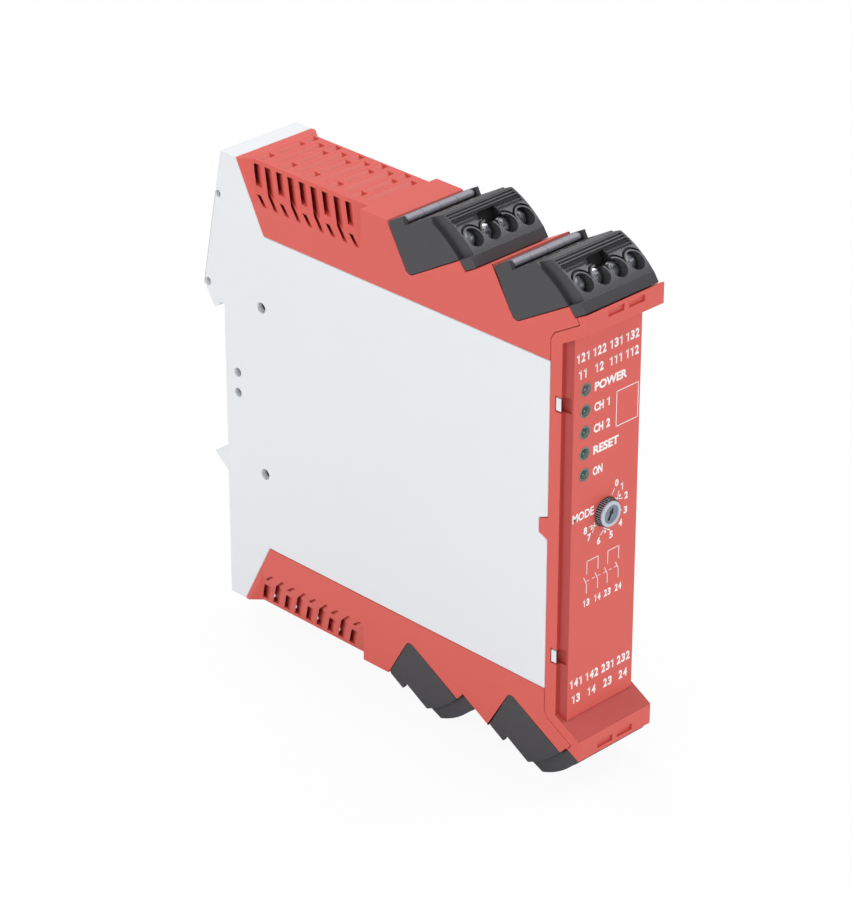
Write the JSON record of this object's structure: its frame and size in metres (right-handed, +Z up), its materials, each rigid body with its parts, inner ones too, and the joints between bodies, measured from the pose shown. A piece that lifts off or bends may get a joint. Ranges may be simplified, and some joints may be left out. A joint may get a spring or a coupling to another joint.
{
  "type": "safety relay",
  "caption": "Rail mounted safety relay, grey and red housing with vents, plug-in screw terminals, status lamps and a selector dial",
  "frame": {"origin": "middle of the rail seat plane, halfway across the width, at the rail's centre line", "axes": "X across the width, -Y forward from the rail to the front panel, Z up"},
  "size_m": [0.0226, 0.1143, 0.12],
  "materials": {
    "grey_plastic": "light grey, fine satin",
    "red_plastic": "warm red, fine satin",
    "black_plastic": "black, satin",
    "light_lever": "grey, satin",
    "plated_steel": "zinc plated",
    "spring_steel": "bright drawn wire",
    "core_steel": "varnished sheets",
    "contact_brass": "tin plated",
    "circuit_board": "green lacquer",
    "relay_case": "smooth",
    "capacitor_sleeve": "shrunk sleeve",
    "lamp_lens": "tinted lens",
    "blue_grey_plastic": "satin"
  },
  "bodies": {
    "housing": {"rear_housing": "grey_plastic", "front_housing": "red_plastic", "front_cover": "red_plastic", "main_board": "circuit_board", "front_board": "circuit_board", "output_relays": "relay_case", "supply_transformer": "core_steel", "supply_capacitors": "capacitor_sleeve", "controller_chips": "black_plastic", "selector_switch": "black_plastic", "status_leds": "lamp_lens", "terminal_headers": "black_plastic", "header_pins": "contact_brass", "foot_spring": "spring_steel"},
    "foot": {"rail_foot": "plated_steel"},
    "dial": {"selector_dial": "blue_grey_plastic"},
    "plug_top_rear": {"plug_top_rear": "black_plastic", "contacts_top_rear": "contact_brass"},
    "lever_top_rear": {"release_lever_top_rear": "light_lever"},
    "screw_top_rear_1": {"screw_top_rear_1": "plated_steel"},
    "cage_top_rear_1": {"cage_top_rear_1": "plated_steel"},
    "screw_top_rear_2": {"screw_top_rear_2": "plated_steel"},
    "cage_top_rear_2": {"cage_top_rear_2": "plated_steel"},
    "screw_top_rear_3": {"screw_top_rear_3": "plated_steel"},
    "cage_top_rear_3": {"cage_top_rear_3": "plated_steel"},
    "screw_top_rear_4": {"screw_top_rear_4": "plated_steel"},
    "cage_top_rear_4": {"cage_top_rear_4": "plated_steel"},
    "plug_top_front": {"plug_top_front": "black_plastic", "contacts_top_front": "contact_brass"},
    "lever_top_front": {"release_lever_top_front": "light_lever"},
    "screw_top_front_1": {"screw_top_front_1": "plated_steel"},
    "cage_top_front_1": {"cage_top_front_1": "plated_steel"},
    "screw_top_front_2": {"screw_top_front_2": "plated_steel"},
    "cage_top_front_2": {"cage_top_front_2": "plated_steel"},
    "screw_top_front_3": {"screw_top_front_3": "plated_steel"},
    "cage_top_front_3": {"cage_top_front_3": "plated_steel"},
    "screw_top_front_4": {"screw_top_front_4": "plated_steel"},
    "cage_top_front_4": {"cage_top_front_4": "plated_steel"},
    "plug_bottom_rear": {"plug_bottom_rear": "black_plastic", "contacts_bottom_rear": "contact_brass"},
    "lever_bottom_rear": {"release_lever_bottom_rear": "light_lever"},
    "screw_bottom_rear_1": {"screw_bottom_rear_1": "plated_steel"},
    "cage_bottom_rear_1": {"cage_bottom_rear_1": "plated_steel"},
    "screw_bottom_rear_2": {"screw_bottom_rear_2": "plated_steel"},
    "cage_bottom_rear_2": {"cage_bottom_rear_2": "plated_steel"},
    "screw_bottom_rear_3": {"screw_bottom_rear_3": "plated_steel"},
    "cage_bottom_rear_3": {"cage_bottom_rear_3": "plated_steel"},
    "screw_bottom_rear_4": {"screw_bottom_rear_4": "plated_steel"},
    "cage_bottom_rear_4": {"cage_bottom_rear_4": "plated_steel"},
    "plug_bottom_front": {"plug_bottom_front": "black_plastic", "contacts_bottom_front": "contact_brass"},
    "lever_bottom_front": {"release_lever_bottom_front": "light_lever"},
    "screw_bottom_front_1": {"screw_bottom_front_1": "plated_steel"},
    "cage_bottom_front_1": {"cage_bottom_front_1": "plated_steel"},
    "screw_bottom_front_2": {"screw_bottom_front_2": "plated_steel"},
    "cage_bottom_front_2": {"cage_bottom_front_2": "plated_steel"},
    "screw_bottom_front_3": {"screw_bottom_front_3": "plated_steel"},
    "cage_bottom_front_3": {"cage_bottom_front_3": "plated_steel"},
    "screw_bottom_front_4": {"screw_bottom_front_4": "plated_steel"},
    "cage_bottom_front_4": {"cage_bottom_front_4": "plated_steel"}
  },
  "joints": [
    {"name": "foot_slide", "type": "slide", "parent": "housing", "child": "foot", "axis": [0, 0, -1], "range_m": [0, 0.0035], "stiffness_N_per_m": 1500, "springref_m": -0.002, "deforming": ["foot_spring"]},
    {"name": "dial_turn", "type": "hinge", "parent": "housing", "child": "dial", "pos_m": [0.0004, -0.1, 0.0017], "axis": [0, 1, 0], "range_deg": [0, 216]},
    {"name": "plug_slide_top_rear", "type": "slide", "parent": "housing", "child": "plug_top_rear", "axis": [0, -0.866, 0.5], "range_m": [0, 0.01]},
    {"name": "lever_hinge_top_rear", "type": "hinge", "parent": "plug_top_rear", "child": "lever_top_rear", "pos_m": [0, -0.05518, 0.05512], "axis": [1, 0, 0], "range_deg": [0, 50]},
    {"name": "screw_turn_top_rear_1", "type": "hinge", "parent": "plug_top_rear", "child": "screw_top_rear_1", "pos_m": [-0.0075, -0.06802, 0.05347], "axis": [0, 0.866, -0.5], "range_deg": [0, 1800]},
    {"name": "cage_lift_top_rear_1", "type": "slide", "parent": "plug_top_rear", "child": "cage_top_rear_1", "axis": [0, -0.866, 0.5], "range_m": [0, 0.0025]},
    {"name": "screw_turn_top_rear_2", "type": "hinge", "parent": "plug_top_rear", "child": "screw_top_rear_2", "pos_m": [-0.0025, -0.06802, 0.05347], "axis": [0, 0.866, -0.5], "range_deg": [0, 1800]},
    {"name": "cage_lift_top_rear_2", "type": "slide", "parent": "plug_top_rear", "child": "cage_top_rear_2", "axis": [0, -0.866, 0.5], "range_m": [0, 0.0025]},
    {"name": "screw_turn_top_rear_3", "type": "hinge", "parent": "plug_top_rear", "child": "screw_top_rear_3", "pos_m": [0.0025, -0.06802, 0.05347], "axis": [0, 0.866, -0.5], "range_deg": [0, 1800]},
    {"name": "cage_lift_top_rear_3", "type": "slide", "parent": "plug_top_rear", "child": "cage_top_rear_3", "axis": [0, -0.866, 0.5], "range_m": [0, 0.0025]},
    {"name": "screw_turn_top_rear_4", "type": "hinge", "parent": "plug_top_rear", "child": "screw_top_rear_4", "pos_m": [0.0075, -0.06802, 0.05347], "axis": [0, 0.866, -0.5], "range_deg": [0, 1800]},
    {"name": "cage_lift_top_rear_4", "type": "slide", "parent": "plug_top_rear", "child": "cage_top_rear_4", "axis": [0, -0.866, 0.5], "range_m": [0, 0.0025]},
    {"name": "plug_slide_top_front", "type": "slide", "parent": "housing", "child": "plug_top_front", "axis": [0, -0.866, 0.5], "range_m": [0, 0.01]},
    {"name": "lever_hinge_top_front", "type": "hinge", "parent": "plug_top_front", "child": "lever_top_front", "pos_m": [0, -0.08568, 0.05512], "axis": [1, 0, 0], "range_deg": [0, 50]},
    {"name": "screw_turn_top_front_1", "type": "hinge", "parent": "plug_top_front", "child": "screw_top_front_1", "pos_m": [-0.0075, -0.09852, 0.05347], "axis": [0, 0.866, -0.5], "range_deg": [0, 1800]},
    {"name": "cage_lift_top_front_1", "type": "slide", "parent": "plug_top_front", "child": "cage_top_front_1", "axis": [0, -0.866, 0.5], "range_m": [0, 0.0025]},
    {"name": "screw_turn_top_front_2", "type": "hinge", "parent": "plug_top_front", "child": "screw_top_front_2", "pos_m": [-0.0025, -0.09852, 0.05347], "axis": [0, 0.866, -0.5], "range_deg": [0, 1800]},
    {"name": "cage_lift_top_front_2", "type": "slide", "parent": "plug_top_front", "child": "cage_top_front_2", "axis": [0, -0.866, 0.5], "range_m": [0, 0.0025]},
    {"name": "screw_turn_top_front_3", "type": "hinge", "parent": "plug_top_front", "child": "screw_top_front_3", "pos_m": [0.0025, -0.09852, 0.05347], "axis": [0, 0.866, -0.5], "range_deg": [0, 1800]},
    {"name": "cage_lift_top_front_3", "type": "slide", "parent": "plug_top_front", "child": "cage_top_front_3", "axis": [0, -0.866, 0.5], "range_m": [0, 0.0025]},
    {"name": "screw_turn_top_front_4", "type": "hinge", "parent": "plug_top_front", "child": "screw_top_front_4", "pos_m": [0.0075, -0.09852, 0.05347], "axis": [0, 0.866, -0.5], "range_deg": [0, 1800]},
    {"name": "cage_lift_top_front_4", "type": "slide", "parent": "plug_top_front", "child": "cage_top_front_4", "axis": [0, -0.866, 0.5], "range_m": [0, 0.0025]},
    {"name": "plug_slide_bottom_rear", "type": "slide", "parent": "housing", "child": "plug_bottom_rear", "axis": [0, -0.866, -0.5], "range_m": [0, 0.01]},
    {"name": "lever_hinge_bottom_rear", "type": "hinge", "parent": "plug_bottom_rear", "child": "lever_bottom_rear", "pos_m": [0, -0.05518, -0.05512], "axis": [-1, 0, 0], "range_deg": [0, 50]},
    {"name": "screw_turn_bottom_rear_1", "type": "hinge", "parent": "plug_bottom_rear", "child": "screw_bottom_rear_1", "pos_m": [0.0075, -0.06802, -0.05347], "axis": [0, 0.866, 0.5], "range_deg": [0, 1800]},
    {"name": "cage_lift_bottom_rear_1", "type": "slide", "parent": "plug_bottom_rear", "child": "cage_bottom_rear_1", "axis": [0, -0.866, -0.5], "range_m": [0, 0.0025]},
    {"name": "screw_turn_bottom_rear_2", "type": "hinge", "parent": "plug_bottom_rear", "child": "screw_bottom_rear_2", "pos_m": [0.0025, -0.06802, -0.05347], "axis": [0, 0.866, 0.5], "range_deg": [0, 1800]},
    {"name": "cage_lift_bottom_rear_2", "type": "slide", "parent": "plug_bottom_rear", "child": "cage_bottom_rear_2", "axis": [0, -0.866, -0.5], "range_m": [0, 0.0025]},
    {"name": "screw_turn_bottom_rear_3", "type": "hinge", "parent": "plug_bottom_rear", "child": "screw_bottom_rear_3", "pos_m": [-0.0025, -0.06802, -0.05347], "axis": [0, 0.866, 0.5], "range_deg": [0, 1800]},
    {"name": "cage_lift_bottom_rear_3", "type": "slide", "parent": "plug_bottom_rear", "child": "cage_bottom_rear_3", "axis": [0, -0.866, -0.5], "range_m": [0, 0.0025]},
    {"name": "screw_turn_bottom_rear_4", "type": "hinge", "parent": "plug_bottom_rear", "child": "screw_bottom_rear_4", "pos_m": [-0.0075, -0.06802, -0.05347], "axis": [0, 0.866, 0.5], "range_deg": [0, 1800]},
    {"name": "cage_lift_bottom_rear_4", "type": "slide", "parent": "plug_bottom_rear", "child": "cage_bottom_rear_4", "axis": [0, -0.866, -0.5], "range_m": [0, 0.0025]},
    {"name": "plug_slide_bottom_front", "type": "slide", "parent": "housing", "child": "plug_bottom_front", "axis": [0, -0.866, -0.5], "range_m": [0, 0.01]},
    {"name": "lever_hinge_bottom_front", "type": "hinge", "parent": "plug_bottom_front", "child": "lever_bottom_front", "pos_m": [0, -0.08568, -0.05512], "axis": [-1, 0, 0], "range_deg": [0, 50]},
    {"name": "screw_turn_bottom_front_1", "type": "hinge", "parent": "plug_bottom_front", "child": "screw_bottom_front_1", "pos_m": [0.0075, -0.09852, -0.05347], "axis": [0, 0.866, 0.5], "range_deg": [0, 1800]},
    {"name": "cage_lift_bottom_front_1", "type": "slide", "parent": "plug_bottom_front", "child": "cage_bottom_front_1", "axis": [0, -0.866, -0.5], "range_m": [0, 0.0025]},
    {"name": "screw_turn_bottom_front_2", "type": "hinge", "parent": "plug_bottom_front", "child": "screw_bottom_front_2", "pos_m": [0.0025, -0.09852, -0.05347], "axis": [0, 0.866, 0.5], "range_deg": [0, 1800]},
    {"name": "cage_lift_bottom_front_2", "type": "slide", "parent": "plug_bottom_front", "child": "cage_bottom_front_2", "axis": [0, -0.866, -0.5], "range_m": [0, 0.0025]},
    {"name": "screw_turn_bottom_front_3", "type": "hinge", "parent": "plug_bottom_front", "child": "screw_bottom_front_3", "pos_m": [-0.0025, -0.09852, -0.05347], "axis": [0, 0.866, 0.5], "range_deg": [0, 1800]},
    {"name": "cage_lift_bottom_front_3", "type": "slide", "parent": "plug_bottom_front", "child": "cage_bottom_front_3", "axis": [0, -0.866, -0.5], "range_m": [0, 0.0025]},
    {"name": "screw_turn_bottom_front_4", "type": "hinge", "parent": "plug_bottom_front", "child": "screw_bottom_front_4", "pos_m": [-0.0075, -0.09852, -0.05347], "axis": [0, 0.866, 0.5], "range_deg": [0, 1800]},
    {"name": "cage_lift_bottom_front_4", "type": "slide", "parent": "plug_bottom_front", "child": "cage_bottom_front_4", "axis": [0, -0.866, -0.5], "range_m": [0, 0.0025]}
  ],
  "couplings": [
    {"joint": "screw_turn_top_rear_1", "follows": "cage_lift_top_rear_1", "rad_per_m": 12566},
    {"joint": "screw_turn_top_rear_2", "follows": "cage_lift_top_rear_2", "rad_per_m": 12566},
    {"joint": "screw_turn_top_rear_3", "follows": "cage_lift_top_rear_3", "rad_per_m": 12566},
    {"joint": "screw_turn_top_rear_4", "follows": "cage_lift_top_rear_4", "rad_per_m": 12566},
    {"joint": "screw_turn_top_front_1", "follows": "cage_lift_top_front_1", "rad_per_m": 12566},
    {"joint": "screw_turn_top_front_2", "follows": "cage_lift_top_front_2", "rad_per_m": 12566},
    {"joint": "screw_turn_top_front_3", "follows": "cage_lift_top_front_3", "rad_per_m": 12566},
    {"joint": "screw_turn_top_front_4", "follows": "cage_lift_top_front_4", "rad_per_m": 12566},
    {"joint": "screw_turn_bottom_rear_1", "follows": "cage_lift_bottom_rear_1", "rad_per_m": 12566},
    {"joint": "screw_turn_bottom_rear_2", "follows": "cage_lift_bottom_rear_2", "rad_per_m": 12566},
    {"joint": "screw_turn_bottom_rear_3", "follows": "cage_lift_bottom_rear_3", "rad_per_m": 12566},
    {"joint": "screw_turn_bottom_rear_4", "follows": "cage_lift_bottom_rear_4", "rad_per_m": 12566},
    {"joint": "screw_turn_bottom_front_1", "follows": "cage_lift_bottom_front_1", "rad_per_m": 12566},
    {"joint": "screw_turn_bottom_front_2", "follows": "cage_lift_bottom_front_2", "rad_per_m": 12566},
    {"joint": "screw_turn_bottom_front_3", "follows": "cage_lift_bottom_front_3", "rad_per_m": 12566},
    {"joint": "screw_turn_bottom_front_4", "follows": "cage_lift_bottom_front_4", "rad_per_m": 12566}
  ]
}
